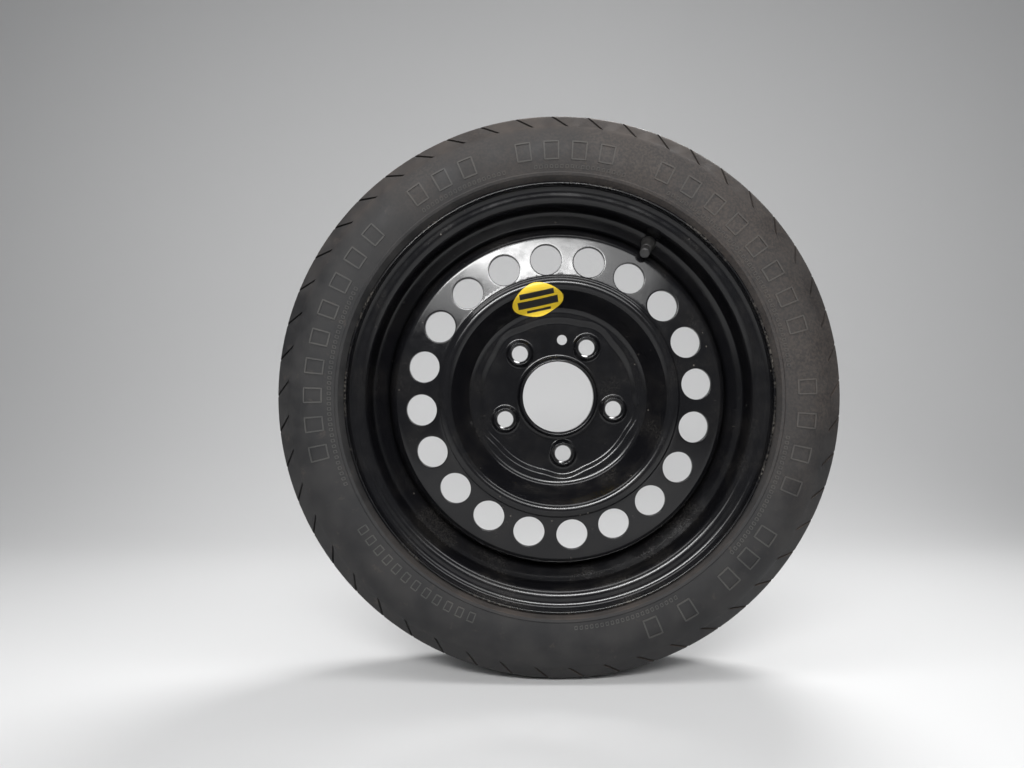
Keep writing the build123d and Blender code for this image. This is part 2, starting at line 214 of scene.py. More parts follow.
# %% A small kit for finishes
class Finish:
    def __init__(self, name, colour, roughness, metallic=0.0, **more):
        self.material = bpy.data.materials.new(name)
        self.material.use_nodes = True
        self.tree = self.material.node_tree
        self.shader = self.tree.nodes["Principled BSDF"]
        self.set(self.shader, {"Base Color": (*colour, 1), "Roughness": roughness, "Metallic": metallic})
        self.set(self.shader, {k.replace("_", " "): v for k, v in more.items()})
        self.place = self.tree.nodes.new("ShaderNodeTexCoord").outputs["Object"]

    def set(self, node, values):
        for socket, value in values.items():
            if isinstance(value, bpy.types.NodeSocket):
                self.tree.links.new(value, node.inputs[socket])
            else:
                node.inputs[socket].default_value = value

    def add(self, kind, values, **settings):
        node = self.tree.nodes.new("ShaderNode" + kind)
        for key, value in settings.items():
            setattr(node, key, value)
        self.set(node, values)
        return node

    def noise(self, scale, detail=3.0, stretch=(1, 1, 1), roughness=0.55):
        spread = self.add("Mapping", {"Vector": self.place, "Scale": stretch})
        values = {"Vector": spread.outputs[0], "Scale": scale, "Detail": detail, "Roughness": roughness}
        return self.add("TexNoise", values).outputs["Fac"]

    def ramp(self, value, low, high, to_low=0.0, to_high=1.0):
        """A soft step: below low gives to_low, above high gives to_high."""
        return self.add("MapRange", {
            0: value, 1: low, 2: high, 3: to_low, 4: to_high}, interpolation_type="SMOOTHSTEP").outputs[0]

    def maths(self, operation, a, b=0.0):
        return self.add("Math", {0: a, 1: b}, operation=operation).outputs[0]

    def blend(self, amount, first, second):
        """Two colours mixed by an amount."""
        as_colour = [c if isinstance(c, bpy.types.NodeSocket) else (*c, 1) for c in (first, second)]
        return self.add("Mix", {0: amount, 6: as_colour[0], 7: as_colour[1]}, data_type="RGBA").outputs[2]

    def facing_up(self):
        normal = self.add("NewGeometry", {}).outputs["Normal"]
        return self.add("SeparateXYZ", {0: normal}).outputs[2]

    def axes(self):
        return self.add("SeparateXYZ", {0: self.place}).outputs

    def grain(self, height, strength, distance):
        bump = self.add("Bump", {"Height": height, "Strength": strength, "Distance": distance})
        self.set(self.shader, {"Normal": bump.outputs[0]})


# %% [markdown]
# ## Finishes of the wheel
# The tyre is matte rubber that has greyed. Its colour turns browner towards the top and one side, and the faces
# that look up are lighter: painted light from above, mixed with some dust.
# Rim and disc have glossy black paint. Dust settles on faces that look up and dulls the gloss there.
# Small pieces are brass, black plastic, soft black rubber and drawn steel wire.

# %% Tyre rubber
# Brown tone for patches, scuffs and the faces that look up; on the up-facing faces it is partly painted light from
# above.
DUST_AND_TOP_LIGHT = (0.075, 0.06, 0.051)


def tyre_rubber(name, dark, light):
    rubber = Finish(name, dark, 0.8, Specular_IOR_Level=0.35)
    x, _, z = rubber.axes()
    mottle = rubber.noise(34, 5)
    speck = rubber.noise(420, 2)
    worn = rubber.blend(rubber.ramp(mottle, 0.3, 0.72), dark, light)
    # Browner towards the top and the right.
    lean = rubber.maths("ADD", rubber.maths("MULTIPLY", z, 1.6), rubber.maths("MULTIPLY", x, 1.2))
    patches = rubber.maths("ADD", lean, rubber.noise(11, 4))
    brown_and_top_light = rubber.maths("MULTIPLY", rubber.ramp(patches, 0.4, 1.3), rubber.ramp(speck, 0.32, 0.7, 0.25, 0.8))
    # Faces that look up get lighter: painted light from above, mixed with some dust.
    painted_top_light = rubber.ramp(rubber.facing_up(), 0.1, 0.9)
    upward_tone = rubber.maths("MULTIPLY", painted_top_light, rubber.ramp(mottle, 0.35, 0.7, 0.4, 0.9))
    scuffs = rubber.ramp(rubber.noise(64, 6, roughness=0.68), 0.58, 0.74, 0.0, 0.45)
    brown_and_top_light = rubber.maths("MAXIMUM", rubber.maths("MAXIMUM", brown_and_top_light, upward_tone), scuffs)
    rubber.set(rubber.shader, {
        "Base Color": rubber.blend(brown_and_top_light, worn, DUST_AND_TOP_LIGHT),
        "Roughness": rubber.ramp(mottle, 0.3, 0.7, 0.55, 0.75)})
    rubber.grain(rubber.noise(1500, 2), 0.25, 0.0003)
    return rubber.material


# %% Black paint
PAINT_BLACK, PALE_DUST = (0.005, 0.005, 0.006), (0.22, 0.2, 0.17)
LIP_WEAR = (204.5, 207.8)     # radii between which the paint of the rim's lip is worn more and more


def black_paint():
    paint = Finish("gloss black paint", PAINT_BLACK, 0.15, Specular_IOR_Level=0.42)
    cloud = paint.noise(26, 5)
    speck = paint.noise(520, 3, roughness=0.7)
    rub = paint.noise(60, 4, (1, 1, 9))
    upward_tone = paint.ramp(paint.facing_up(), -0.4, 0.95, 0.25, 1.0)
    dust = paint.maths("MULTIPLY", upward_tone, paint.ramp(cloud, 0.42, 0.72))
    dust = paint.maths("MULTIPLY", dust, paint.ramp(speck, 0.4, 0.66, 0.25, 1.0))
    dust = paint.maths("MULTIPLY", dust, 0.12)
    scuff = paint.maths("MULTIPLY", paint.ramp(rub, 0.7, 0.78), paint.ramp(speck, 0.45, 0.6))
    x, _, z = paint.axes()
    square = paint.maths("ADD", paint.maths("MULTIPLY", x, x), paint.maths("MULTIPLY", z, z))
    near_lip = paint.ramp(paint.maths("SQRT", square), LIP_WEAR[0] * MM, LIP_WEAR[1] * MM)
    lip = paint.maths("MULTIPLY", near_lip, paint.ramp(paint.noise(24, 6), 0.45, 0.75))
    lip = paint.maths("MULTIPLY", lip, paint.ramp(paint.noise(330, 4), 0.42, 0.62))
    worn = paint.maths("MAXIMUM", paint.maths("MULTIPLY", scuff, 0.3), paint.maths("MULTIPLY", lip, 0.75))
    cells = paint.add("TexVoronoi", {"Vector": paint.place, "Scale": 75.0})
    chips = paint.maths("MULTIPLY", paint.ramp(cells.outputs["Distance"], 0.03, 0.09, 1.0, 0.0),
                        paint.ramp(paint.noise(14, 3), 0.5, 0.62))
    soil = paint.maths("MAXIMUM", dust, paint.maths("MAXIMUM", worn, paint.maths("MULTIPLY", chips, 0.45)))
    film = paint.ramp(paint.noise(70, 4), 0.3, 0.75, 0.1, 0.2)
    paint.set(paint.shader, {
        "Base Color": paint.blend(soil, PAINT_BLACK, PALE_DUST),
        "Roughness": paint.maths("ADD", film, paint.maths("MULTIPLY", soil, 0.5))})
    paint.grain(paint.noise(120, 2), 0.05, 0.0004)
    return paint.material


# %% Small finishes
def painted_weld():
    weld = Finish("paint over weld", (0.016, 0.016, 0.017), 0.35, Specular_IOR_Level=0.6)
    weld.grain(weld.noise(700, 2), 0.5, 0.0006)
    return weld.material


def mottled(name, dark, light, roughness, scale, metallic=0.0):
    """A finish whose colour wanders a little between two tones."""
    tone = Finish(name, dark, roughness, metallic)
    tone.set(tone.shader, {"Base Color": tone.blend(tone.ramp(tone.noise(scale, 4), 0.3, 0.7), dark, light)})
    return tone.material


finishes = {
    "tyre_rubber": tyre_rubber("tyre rubber", (0.013, 0.013, 0.014), (0.03, 0.029, 0.029)),
    # The raised marks are lighter than the tyre: partly wear, partly a painted highlight that stands in for the
    # light on their edges.
    "worn_lit_raised_rubber": tyre_rubber("worn and lit raised rubber", (0.043, 0.043, 0.042), (0.068, 0.066, 0.062)),
    "black_paint": black_paint(),
    "painted_weld": painted_weld(),
    "valve_rubber": mottled("soft valve rubber", (0.018, 0.018, 0.018), (0.035, 0.034, 0.032), 0.55, 260),
    "brass": mottled("turned brass", (0.6, 0.43, 0.16), (0.72, 0.55, 0.26), 0.28, 500, 1.0),
    "cap_plastic": mottled("black cap plastic", (0.014, 0.014, 0.015), (0.03, 0.029, 0.028), 0.42, 320),
    "seal_rubber": mottled("seal rubber", (0.03, 0.03, 0.03), (0.045, 0.045, 0.045), 0.75, 600),
    "spring_steel": mottled("drawn spring wire", (0.45, 0.45, 0.46), (0.6, 0.6, 0.61), 0.3, 900, 1.0),
}
print("finishes:", ", ".join(sorted(finishes)))

# %% [markdown]
# ## Tyre
# A tyre is moulded: tread, shoulder grooves and sidewall come out of one mould, so it is one piece.
# The solid already has that form. A copy of its mesh is welded, which lets the light run smoothly over the
# sidewall, while the edges of the grooves stay crisp.

# %% Smooth tyre
def dress(piece, slot, finish=None):
    """Paints a piece with its slot's finish, or a variant of it, and lets it ride on the wheel."""
    piece.data.materials.clear()
    piece.data.materials.append(finishes[finish or slot])
    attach(piece, "wheel")
    return piece


tyre = new_piece("moulded_tyre", nodes["tyre"].data.copy())
settle(tyre, weld=0.01, sharp=32.0, outward=False)
dress(tyre, "tyre_rubber")
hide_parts("tyre")

# %% [markdown]
# ## Marks on the sidewall
# The mould leaves raised marks in bands round the sidewall, and here they are plain outlined boxes.
# A row of boxes is laid out flat first, with X along the tyre, Y as the radius and Z as the height.
# Geometry Nodes then wrap the flat row round the wheel and over the sidewall's bulge, so each box follows it.

# %% Bulge of the sidewall
BULGE_R = 238.0                     # where the tyre is widest
RIB_TOP = (217.1, 61.2)             # upper edge of the fitting rib
SHOULDER_EDGE = (262.0, 55.8)


def arc_radius(edge):
    """Radius of the arc that is level at the bulge and runs through the edge."""
    across, down = edge[0] - BULGE_R, TYRE_OUT - edge[1]
    return (across * across + down * down) / (2 * down)


INNER_ARC, OUTER_ARC = arc_radius(RIB_TOP), arc_radius(SHOULDER_EDGE)
print("sidewall arcs in mm:", round(INNER_ARC, 1), round(OUTER_ARC, 1))


# %% Node kit and wrapped boxes
class Tree:
    """A Geometry Nodes tree with named inputs."""

    def __init__(self, name, **sizes):
        self.tree = bpy.data.node_groups.new(name, "GeometryNodeTree")
        self.tree.interface.new_socket("Geometry", in_out="OUTPUT", socket_type="NodeSocketGeometry")
        self.sockets = {}
        for key, value in sizes.items():
            kind = "NodeSocketInt" if isinstance(value, int) else "NodeSocketFloat"
            socket = self.tree.interface.new_socket(key, in_out="INPUT", socket_type=kind)
            socket.default_value = value
            self.sockets[key] = socket.identifier
        self.group = self.tree.nodes.new("NodeGroupInput")

    def size(self, key):
        return self.group.outputs[key]

    def add(self, kind, values=None, **settings):
        node = self.tree.nodes.new(kind)
        for key, value in settings.items():
            setattr(node, key, value)
        for socket, value in (values or {}).items():
            if isinstance(value, bpy.types.NodeSocket):
                self.tree.links.new(value, node.inputs[socket])
            else:
                node.inputs[socket].default_value = value
        return node

    def maths(self, operation, a, b=0.0):
        return self.add("ShaderNodeMath", {0: a, 1: b}, operation=operation).outputs[0]

    def vector(self, x=0.0, y=0.0, z=0.0):
        return self.add("ShaderNodeCombineXYZ", {0: x, 1: y, 2: z}).outputs[0]

    def end(self, geometry, material):
        real = self.add("GeometryNodeRealizeInstances", {0: geometry}).outputs[0]
        painted = self.add("GeometryNodeSetMaterial", {"Geometry": real, "Material": material}).outputs[0]
        self.add("NodeGroupOutput", {0: painted})

    def make(self, name, **sizes):
        """Runs the tree with these sizes and returns a plain mesh."""
        carrier = new_piece(name + "_carrier", bpy.data.meshes.new(name))
        modifier = carrier.modifiers.new("nodes", "NODES")
        modifier.node_group = self.tree
        for key, value in sizes.items():
            modifier[self.sockets[key]] = value
        ready = carrier.evaluated_get(bpy.context.evaluated_depsgraph_get())
        mesh = bpy.data.meshes.new_from_object(ready)
        carrier.modifiers.remove(modifier)
        bpy.data.objects.remove(carrier)
        return mesh


BAR_DEEP = 2.0     # section of a raised bar, half of it below the row's plane and so inside the rubber


def boxes_tree():
    """Outlined boxes in a row between two angles (degrees), wrapped on the sidewall. Lengths are in mm."""
    t = Tree("sidewall boxes", start=0.0, end=30.0, count=8, radius=237.0, tall=17.0, wide=13.5, stroke=1.5,
             rise=0.6, points=36, side=1.0)
    frame_curve = "GeometryNodeCurvePrimitiveQuadrilateral"
    outline = t.add(frame_curve, {"Width": t.size("wide"), "Height": t.size("tall")})
    even = t.add("GeometryNodeResampleCurve", {"Curve": outline.outputs[0], "Count": t.size("points")})
    section = t.add(frame_curve, {"Width": t.size("stroke"), "Height": BAR_DEEP})
    bar = t.add("GeometryNodeCurveToMesh", {"Curve": even.outputs[0], "Profile Curve": section.outputs[0]})
    first = t.maths("RADIANS", t.size("start"))
    last = t.maths("RADIANS", t.size("end"))

    def lay(angle):
        return t.vector(t.maths("MULTIPLY", angle, t.size("radius")), t.size("radius"), 0.0)

    row = t.add("GeometryNodeMeshLine", {
        "Count": t.size("count"), "Start Location": lay(first), "Offset": lay(last)}, mode="END_POINTS")
    placed = t.add("GeometryNodeInstanceOnPoints", {"Points": row.outputs[0], "Instance": bar.outputs[0]})
    flat = t.add("GeometryNodeRealizeInstances", {0: placed.outputs[0]})
    where = t.add("ShaderNodeSeparateXYZ", {0: t.add("GeometryNodeInputPosition").outputs[0]}).outputs
    angle = t.maths("DIVIDE", where[0], t.size("radius"))
    across = t.maths("SUBTRACT", where[1], BULGE_R)
    arc = t.add("GeometryNodeSwitch", {
        "Switch": t.add("FunctionNodeCompare", {0: across, 1: 0.0}, data_type="FLOAT").outputs[0],
        "False": INNER_ARC, "True": OUTER_ARC}, input_type="FLOAT").outputs[0]
    arc_square, across_square = t.maths("MULTIPLY", arc, arc), t.maths("MULTIPLY", across, across)
    over = t.maths("SQRT", t.maths("SUBTRACT", arc_square, across_square))
    wall = t.maths("ADD", t.maths("SUBTRACT", TYRE_OUT, arc), over)
    lifted = t.maths("ADD", t.maths("SUBTRACT", where[2], BAR_DEEP / 2), t.size("rise"))
    out = t.maths("MULTIPLY", t.maths("ADD", wall, lifted), t.size("side"))
    wrapped = t.vector(
        t.maths("MULTIPLY", t.maths("MULTIPLY", where[1], t.maths("SINE", angle)), MM),
        t.maths("MULTIPLY", out, -MM),
        t.maths("MULTIPLY", t.maths("MULTIPLY", where[1], t.maths("COSINE", angle)), MM))
    bent = t.add("GeometryNodeSetPosition", {"Geometry": flat.outputs[0], "Position": wrapped})
    t.end(bent.outputs[0], finishes["worn_lit_raised_rubber"])
    return t


boxes = boxes_tree()

# %% [markdown]
# The bands sit where a real tyre has its moulded marks: large boxes near the bulge, small ones nearer the rim.
# Both sides of the tyre get them. One tree makes every band, each with its own sizes.

# %% Lay out the bands
BOX_PITCH = 6.4                       # degrees from one large box to the next
DOT_PITCH = 1.25                      # degrees from one small box to the next
BIG_BANDS = [(-105, -47), (-37, -20), (-10.5, 13), (23, 75), (85.5, 113), (122, 139), (147, 160)]
BAND_INSET = 2.0                      # degrees left free at both ends of a band of large boxes
SIZE_BAND, SIZE_COUNT = (202, 236), 12
SIZE_BOXES = {"radius": 227.0, "tall": 8.5, "wide": 6.0, "stroke": 1.1, "rise": 0.5, "points": 20}
DOT_BANDS = [(-98, -62), (-36, -14), (-6, 16), (28, 82), (100, 132), (150, 176), (248, 262)]
DOT_BOXES = {"radius": 221.6, "tall": 3.0, "wide": 2.4, "stroke": 0.8, "rise": 0.4, "points": 8}


def band(start, end, count, side, **sizes):
    return boxes.make("band", start=float(start), end=float(end), count=count, side=side, **sizes)


def lay_bands():
    meshes = []
    for side in (1.0, -1.0):
        for start, end in BIG_BANDS:
            count = max(2, round((end - start) / BOX_PITCH))
            meshes.append(band(start + BAND_INSET, end - BAND_INSET, count, side))
        meshes.append(band(*SIZE_BAND, SIZE_COUNT, side, **SIZE_BOXES))
        for start, end in DOT_BANDS:
            meshes.append(band(start, end, round((end - start) / DOT_PITCH), side, **DOT_BOXES))
    return meshes


def joined(name, meshes):
    work = bmesh.new()
    for mesh in meshes:
        work.from_mesh(mesh)
    merged = bpy.data.meshes.new(name)
    work.to_mesh(merged)
    work.free()
    return new_piece(name, merged)


marks = settle(joined("sidewall_marks", lay_bands()), sharp=30.0)
dress(marks, "tyre_rubber", finish="worn_lit_raised_rubber")

# %% [markdown]
# ## Rim
# The rim is rolled from a strip: a curled flange, a seat for the tyre's bead, a hump to hold it, and a well.
# It is one section all the way round, so it is turned with many steps, and the paint reflects cleanly.

# %% Turned rim
BEAD_R, FLANGE_OUT = 190.1, 50.8
SEAT_END, HUMP = (188.543, 33.0), (189.543, 27.5)
WELL_R, WELL_OUT, WELL_BACK = 172.8, 17.36, -8.0


def rim_line():
    """Each corner has its bend radius. Both sides are alike, apart from the well between them."""
    near = [(LIP_R, LIP_OUT, 0), (LIP_R, FLANGE_OUT, 9.5), (BEAD_R, FLANGE_OUT, 6.5)]
    near += [(*SEAT_END, 5), (*HUMP, 6.5)]
    far = [(radius, -out, bend) for radius, out, bend in reversed(near)]
    return rounded(near + [(WELL_R, WELL_OUT, 6), (WELL_R, WELL_BACK, 8)] + far)


def turned_sheet(name, line, thickness):
    back = set_off(line, thickness)[::-1]
    surface = Surface()
    outline = np.vstack([line, round_end(line[-1], back[0]), back, round_end(back[-1], line[0])])
    surface.turn(outline, closed=True)
    return surface.build(name)


rim = turned_sheet("rolled_rim", rim_line(), RIM_SHEET)

# %% [markdown]
# The valve comes through a round hole in the slope of the well. Its place is read from the solid of the stem:
# the joint of the cap gives the direction, and the middle of the stem gives a point on the line.
# A round punch is then taken out of the turned sheet with a Boolean, as a press does it.

# %% Valve hole
VALVE_HOLE, PUNCH_REACH, PUNCH_POINTS = 5.75, 15.0, 48
STEM_FOOT, STEM_END = -10.0, 31.0
valve_axis = np.array(next(j["axis"] for j in frame["joints"] if j["name"] == "cap_off"))
valve_side = unit(np.cross(valve_axis, (0, 0, 1)))
valve_up = np.cross(valve_axis, valve_side)


def valve_foot():
    """The point of the valve's axis at height zero, on the outside of the rim's slope, in millimetres."""
    points = np.array([v.co for v in nodes["valve_stem"].data.vertices]) / MM
    spot = np.zeros(3)
    for direction in (valve_side, valve_up):
        reach = points @ direction
        spot += direction * (reach.min() + reach.max()) / 2
    return spot + valve_axis * ((points @ valve_axis).max() - STEM_END)


FOOT = valve_foot()
print("foot of the valve in mm:", FOOT.round(2))


def around_valve(radius, height, turn):
    """A point about the valve's axis."""
    sideways = np.multiply.outer(np.cos(turn), valve_side) + np.multiply.outer(np.sin(turn), valve_up)
    return FOOT + np.asarray(radius)[..., None] * sideways + valve_axis * height


def punched(piece):
    """Takes a round hole along the valve's axis out of a piece."""
    turn = np.arange(PUNCH_POINTS) * 2 * pi / PUNCH_POINTS
    radius = np.full(PUNCH_POINTS, VALVE_HOLE)
    punch = Surface()
    punch.rings([around_valve(radius, height, turn) for height in (-PUNCH_REACH, PUNCH_REACH)])
    punch.faces += [list(range(PUNCH_POINTS)), list(range(PUNCH_POINTS, 2 * PUNCH_POINTS))]
    tool = punch.build("punch")
    cut = piece.modifiers.new("valve hole", "BOOLEAN")
    cut.object = tool
    cut.operation = "DIFFERENCE"
    cut.solver = "EXACT"
    whole = piece.data
    piece.data = bpy.data.meshes.new_from_object(piece.evaluated_get(bpy.context.evaluated_depsgraph_get()))
    piece.modifiers.remove(cut)
    bpy.data.meshes.remove(whole)
    bpy.data.objects.remove(tool)
    return settle(piece)


rim = punched(rim)
dress(rim, "black_paint")
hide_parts("rim")

# %% [markdown]
# ## Disc
# The disc is pressed from one sheet. Where it is round, its section is turned like the rim's.
# Two zones aren't round: the sunk pad with its five lobes and nut seats, and the ring with twenty vents.
# Those are height fields: points are spread over the zone, joined to triangles, and lifted to their height.
# The rings at the zone's edges share their points with the turned parts, so everything welds into one sheet.

# %% Section of the disc
COLLAR_R, COLLAR_OUT = 38.75, 32.6
PAD_OUT, FLOOR_OUT = 21.6, 24.6
PAD_INNER, PAD_OUTER = 42.75, 83.0
PAD_EDGE, FLOOR_START, FLOOR_END = 75.0, 78.0, 87.5
RIDGE = (109.6, 55.6)
VENT_INNER, VENT_INNER_BACK, VENT_OUTER = 119.35, 118.85, 155.5
STEP_R, STEP_OUT, VENT_SLOPE = 118.5, 48.132, 8.0
FACE_END, FLANGE_TOP = 161.5, 17.0
NEAR = 0.05     # points of a line closer than this to a zone's edge give way to the edge


def vent_out(radius):
    return STEP_OUT - (radius - STEP_R) * tan(radians(VENT_SLOPE))


def disc_line():
    return rounded([
        (COLLAR_R, COLLAR_OUT, 0), (COLLAR_R, PAD_OUT, 4), (PAD_EDGE, PAD_OUT, 3),
        (FLOOR_START, FLOOR_OUT, 5), (FLOOR_END, FLOOR_OUT, 8), (*RIDGE, 8), (STEP_R, STEP_OUT, 4.5),
        (FACE_END, vent_out(FACE_END), 8), (DISC_R, FLANGE_TOP, 12), (DISC_R, 0, 0)])


def span(line, low, high, low_end, high_end):
    """The part of a line between two radii, with its exact ends put on."""
    inside = line[(line[:, 0] > low + NEAR) & (line[:, 0] < high - NEAR)]
    return np.vstack([[low_end], inside, [high_end]])


front = disc_line()
back = set_off(front, DISC_SHEET)
back_drop = DISC_SHEET / cos(radians(VENT_SLOPE))
print("disc section points:", len(front), "reach out", round(front[:, 1].max(), 2))

# %% Height fields
def soft_step(low, high, value):
    s = np.clip((value - low) / (high - low), 0, 1)
    return s * s * (3 - 2 * s)


def soft_least(a, b, blend):
    h = np.clip(0.5 + 0.5 * (b - a) / blend, 0, 1)
    return b + (a - b) * h - blend * h * (1 - h)


def ring_points(centre, radius, count):
    angles = np.arange(count) * 2 * pi / count
    return centre + radius * np.stack([np.sin(angles), np.cos(angles)], axis=1)


IN_HOLE = 0.9     # a triangle whose middle is nearer than this share of the radius lies in the hole


def patch(loops, loose, inside):
    """Triangles over a flat zone. Loops are kept as edges, loose points fill it, inside tells what to keep.
    A loose point in the middle of each hole makes the hole's own triangles easy to tell from the rest."""
    points = [Vector(p) for loop in loops for p in loop] + [Vector(p) for p in loose]
    edges, base = [], 0
    for loop in loops:
        edges += [(base + k, base + (k + 1) % len(loop)) for k in range(len(loop))]
        base += len(loop)
    flat, _, faces, *_ = delaunay_2d_cdt(points, edges, [], 0, 1e-5)
    flat = np.array([tuple(p) for p in flat])
    faces = np.array([tuple(f) for f in faces])
    return flat, faces[inside(flat[faces].mean(axis=1))]


def hexagon_grid(spacing, reach):
    """Evenly spread points, every second row shifted by half a step."""
    rows = np.arange(-reach, reach, spacing * sqrt(3) / 2)
    columns = np.arange(-reach, reach, spacing)
    return np.array([(x + (k % 2) * spacing / 2, z) for k, z in enumerate(rows) for x in columns])


def lifted(flat, out):
    return np.stack([flat[:, 0], -out, flat[:, 1]], axis=1)


# %% [markdown]
# ### Sunk pad with nut seats
# Each nut sits in a cone pressed up from the pad, and a lobe in the pad's edge leaves room for a socket.
# The smaller round hole between two seats is where a locating pin goes.

# %% Pad
BOLT_CIRCLE, BOLT_HOLE, SEAT_RISE, SEAT_TOP = 57.5, 8.0, 3.6, 10.4
SEAT_FOOT, SEAT_BLEND, CONE_START, CONE_HALF_ANGLE = 14.6, 0.5, 0.136, 30
RELIEF_R, RELIEF_DEPTH = 12.4, 2
LOBE, LOBE_BACK, LOBE_BLEND = 20.8, 20.8 + 1.6, 5.0
EDGE_FRONT, EDGE_BACK = (-1.2, 5.0), (0.3, 5.2)     # where the pad's edge starts and ends to rise
LOCATING_HOLE, LOCATING_ANGLE, LOCATING_CHAMFER = 5.1, 4.5, 0.5
HOLE_POINTS, LOCATING_POINTS, PAD_GRID = 72, 48, 1.5
SEAT_RINGS = [8.0, 8.5, 9.0, 9.5, 9.9, 10.3, 10.7, 11.2, 11.8, 12.5, 13.2, 14.0, 15.0]


def polar(radius, angle):
    return np.array([radius * sin(radians(angle)), radius * cos(radians(angle))])


bolts = [polar(BOLT_CIRCLE, PATTERN_ANGLE + 72 * k) for k in range(5)]
locating = polar(BOLT_CIRCLE, LOCATING_ANGLE)


def from_points(flat, centres):
    return np.min([np.linalg.norm(flat - c, axis=1) for c in centres], axis=0)


def pad_out(flat, lobe, level, low, high):
    """Height of the pad: its own level inside the lobed edge, a sheet depth higher outside."""
    edge = soft_least(np.linalg.norm(flat, axis=1) - PAD_EDGE, from_points(flat, bolts) - lobe, LOBE_BLEND)
    return level + (FLOOR_OUT - PAD_OUT) * soft_step(low, high, edge)


def pad_front(flat):
    near = from_points(flat, bolts)
    hill = SEAT_RISE * (1 - soft_step(SEAT_TOP, SEAT_FOOT, near))
    cone = CONE_START + (near - BOLT_HOLE) / tan(radians(CONE_HALF_ANGLE))
    return pad_out(flat, LOBE, PAD_OUT, *EDGE_FRONT) + soft_least(hill, cone, SEAT_BLEND)


def pad_back(flat):
    relief = np.clip((RELIEF_R - from_points(flat, bolts)) * 2 / 3, 0, RELIEF_DEPTH)
    return pad_out(flat, LOBE_BACK, PAD_OUT - DISC_SHEET, *EDGE_BACK) + relief


def pad_inside(flat):
    radius = np.linalg.norm(flat, axis=1)
    off_bolts = from_points(flat, bolts) > IN_HOLE * BOLT_HOLE
    off_locating = from_points(flat, [locating]) > IN_HOLE * LOCATING_HOLE
    return off_bolts & off_locating & (radius > PAD_INNER)


def pad_zone():
    circles = [ring_points(np.zeros(2), r, TURN_STEPS) for r in (PAD_INNER, PAD_OUTER)]
    holes = [ring_points(c, BOLT_HOLE, HOLE_POINTS) for c in bolts]
    holes += [ring_points(locating, LOCATING_HOLE + LOCATING_CHAMFER, LOCATING_POINTS)]
    rings = [ring_points(c, r, HOLE_POINTS) for c in bolts for r in SEAT_RINGS[1:]]
    grid = hexagon_grid(PAD_GRID, PAD_OUTER + 1)
    radius = np.linalg.norm(grid, axis=1)
    off_bolts = from_points(grid, bolts) > SEAT_RINGS[-1] + 0.7
    off_locating = from_points(grid, [locating]) > LOCATING_HOLE + 1.3
    grid = grid[off_bolts & off_locating & (radius > PAD_INNER + 1) & (radius < PAD_OUTER - 1)]
    return patch(circles + holes, np.vstack(rings + [grid, np.zeros((1, 2)), bolts, [locating]]), pad_inside)


# %% [markdown]
# ### Vent ring
# Twenty round holes are punched square to the sloping face, each with a slightly rounded edge.
# One hole is a stack of rings: from the face over the rounded edge, down the wall, and out at the back.

# %% Vents
VENT_COUNT, VENT_RING, VENT_HOLE, VENT_EDGE, VENT_EDGE_BACK = 20, 135.2, 15.2, 0.45, 0.2
VENT_POINTS, VENT_GRID, VENT_REACH = 72, 2.4, 158
vent_angles = [PATTERN_ANGLE + 360 / VENT_COUNT * k for k in range(VENT_COUNT)]


def vent_loop(angle, radius, on_back):
    """A hole's edge, seen along the wheel's axis: a circle on the slope looks a little flattened."""
    turn = np.arange(VENT_POINTS) * 2 * pi / VENT_POINTS
    shift = -sin(radians(VENT_SLOPE)) * DISC_SHEET if on_back else 0.0
    side = radius * np.sin(turn)
    outward = VENT_RING + shift + radius * np.cos(turn) * cos(radians(VENT_SLOPE))
    a = radians(angle)
    return np.stack([outward * sin(a) + side * cos(a), outward * cos(a) - side * sin(a)], axis=1)


def vent_height(flat, on_back):
    return vent_out(np.linalg.norm(flat, axis=1)) - (back_drop if on_back else 0.0)


def vent_wall(angle):
    """Rings from the face of the disc through a vent to its back."""
    a, slope = radians(angle), radians(VENT_SLOPE)
    inward = np.array([-sin(slope) * sin(a), cos(slope), -sin(slope) * cos(a)])
    rings = []
    for tilt in (0, 25, 50, 75, 90):
        flat = vent_loop(angle, VENT_HOLE + VENT_EDGE * (1 - sin(radians(tilt))), False)
        depth = VENT_EDGE * (1 - cos(radians(tilt)))
        rings.append(lifted(flat, vent_height(flat, False)) + inward * depth)
    flat = vent_loop(angle, VENT_HOLE, False)
    rings.append(lifted(flat, vent_height(flat, False)) + inward * (DISC_SHEET - VENT_EDGE_BACK))
    flat = vent_loop(angle, VENT_HOLE + VENT_EDGE_BACK, True)
    rings.append(lifted(flat, vent_height(flat, True)))
    return rings


def vent_zone(on_back):
    edge = VENT_EDGE_BACK if on_back else VENT_EDGE
    inner = VENT_INNER_BACK if on_back else VENT_INNER
    circles = [ring_points(np.zeros(2), r, TURN_STEPS) for r in (inner, VENT_OUTER)]
    holes = [vent_loop(a, VENT_HOLE + edge, on_back) for a in vent_angles]
    rings = [vent_loop(a, VENT_HOLE + edge + 1.2, on_back) for a in vent_angles]
    grid = hexagon_grid(VENT_GRID, VENT_REACH)
    radius = np.linalg.norm(grid, axis=1)
    centres = [loop.mean(axis=0) for loop in holes]
    free = from_points(grid, centres) > VENT_HOLE + edge + 2.2
    grid = grid[free & (radius > inner + 1.2) & (radius < VENT_OUTER - 1.2)]

    def inside(flat):
        off_vents = from_points(flat, centres) > IN_HOLE * VENT_HOLE
        return off_vents & (np.linalg.norm(flat, axis=1) > IN_HOLE * inner)

    ring_loops = np.vstack(rings)
    close = np.linalg.norm(ring_loops, axis=1)
    ring_loops = ring_loops[(close > inner + 0.8) & (close < VENT_OUTER - 0.8)]
    return patch(circles + holes, np.vstack([ring_loops, grid, np.zeros((1, 2)), centres]), inside)


